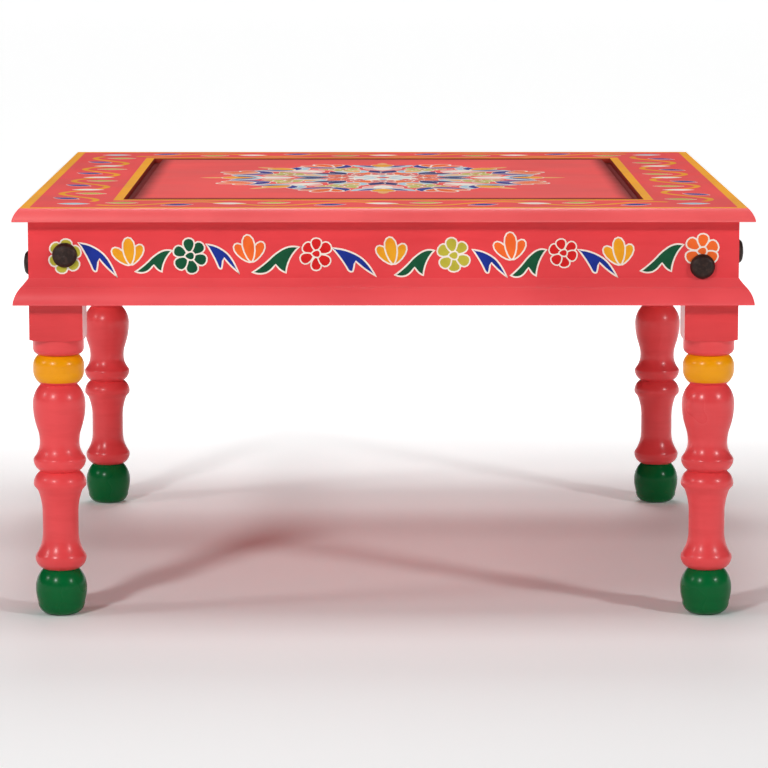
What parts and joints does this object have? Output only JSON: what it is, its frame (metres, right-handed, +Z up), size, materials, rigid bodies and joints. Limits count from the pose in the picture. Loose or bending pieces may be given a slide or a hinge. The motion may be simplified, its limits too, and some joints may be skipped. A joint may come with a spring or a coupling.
{
  "type": "side table",
  "caption": "Low square side table of painted wood with a framed panel top, a floral painted apron with iron stud bolts and turned legs on ball feet.",
  "frame": {"origin": "on the floor, under the middle of the top", "axes": "+Z up, the painted front in the picture faces -Y, +X to the viewer's right"},
  "size_m": [0.76, 0.76, 0.4286],
  "materials": {
    "coral_paint": "satin gloss brushed enamel paint over solid wood",
    "coral_leg_paint": "satin gloss brushed enamel paint over turned solid wood, with a yellow bun and a green foot",
    "coral_top_paint": "satin gloss brushed enamel paint over solid wood",
    "coral_panel_paint": "satin gloss brushed enamel paint, darkened along the sunk margin",
    "raw_wood": "planed and unpainted",
    "black_iron": "hammered and blackened",
    "zinc_steel": "zinc plated"
  },
  "bodies": {
    "root": {"apron_back": "coral_paint", "apron_front": "coral_paint", "apron_left": "coral_paint", "apron_right": "coral_paint", "apron_screws": "zinc_steel", "base_moulding_back": "coral_paint", "base_moulding_front": "coral_paint", "base_moulding_left": "coral_paint", "base_moulding_right": "coral_paint", "batten_screws": "zinc_steel", "bolt_nuts": "zinc_steel", "bolt_washers": "zinc_steel", "cleat_screws": "zinc_steel", "leg_back_left": "coral_leg_paint", "leg_back_right": "coral_leg_paint", "leg_front_left": "coral_leg_paint", "leg_front_right": "coral_leg_paint", "mitre_tongues": "raw_wood", "panel_batten_left": "raw_wood", "panel_batten_right": "raw_wood", "stud_bolts": "black_iron", "top_cleat_back": "raw_wood", "top_cleat_front": "raw_wood", "top_cleat_left": "raw_wood", "top_cleat_right": "raw_wood", "top_panel": "coral_panel_paint", "top_rail_back": "coral_top_paint", "top_rail_front": "coral_top_paint", "top_rail_left": "coral_top_paint", "top_rail_right": "coral_top_paint"}
  },
  "joints": []
}
